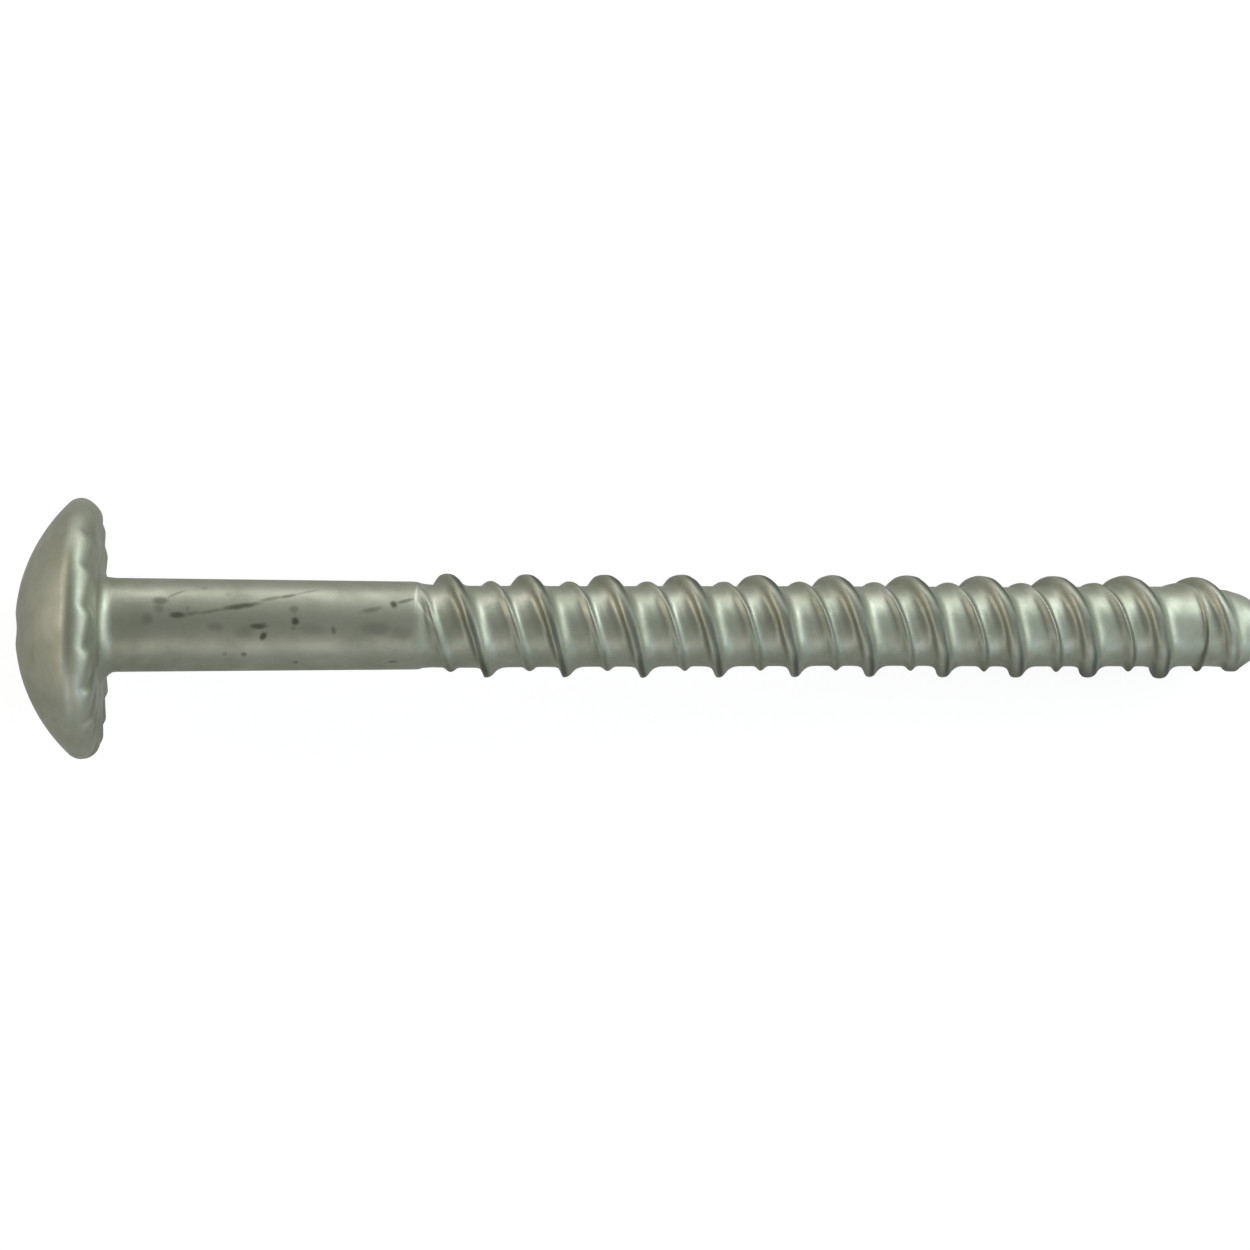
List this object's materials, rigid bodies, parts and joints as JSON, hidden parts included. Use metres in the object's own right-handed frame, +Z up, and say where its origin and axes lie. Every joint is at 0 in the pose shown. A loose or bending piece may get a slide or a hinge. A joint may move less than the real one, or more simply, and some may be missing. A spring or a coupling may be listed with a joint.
{
  "type": "concrete screw",
  "caption": "Concrete screw with a domed pan head, lobed drive socket, locking teeth under the head, plain shank and coarse right-hand thread with a high and a low ridge.",
  "frame": {"origin": "middle of the screw's bounding box, on the plane that it lies on", "axes": "+X along the screw from head to tip, tipped down by the lying tilt of about 3.8 degrees; +Z up; +Y across"},
  "size_m": [0.0851, 0.017, 0.017],
  "materials": {
    "zinc_coated_steel": "satin"
  },
  "bodies": {
    "root": {"screw": "zinc_coated_steel"}
  },
  "joints": []
}
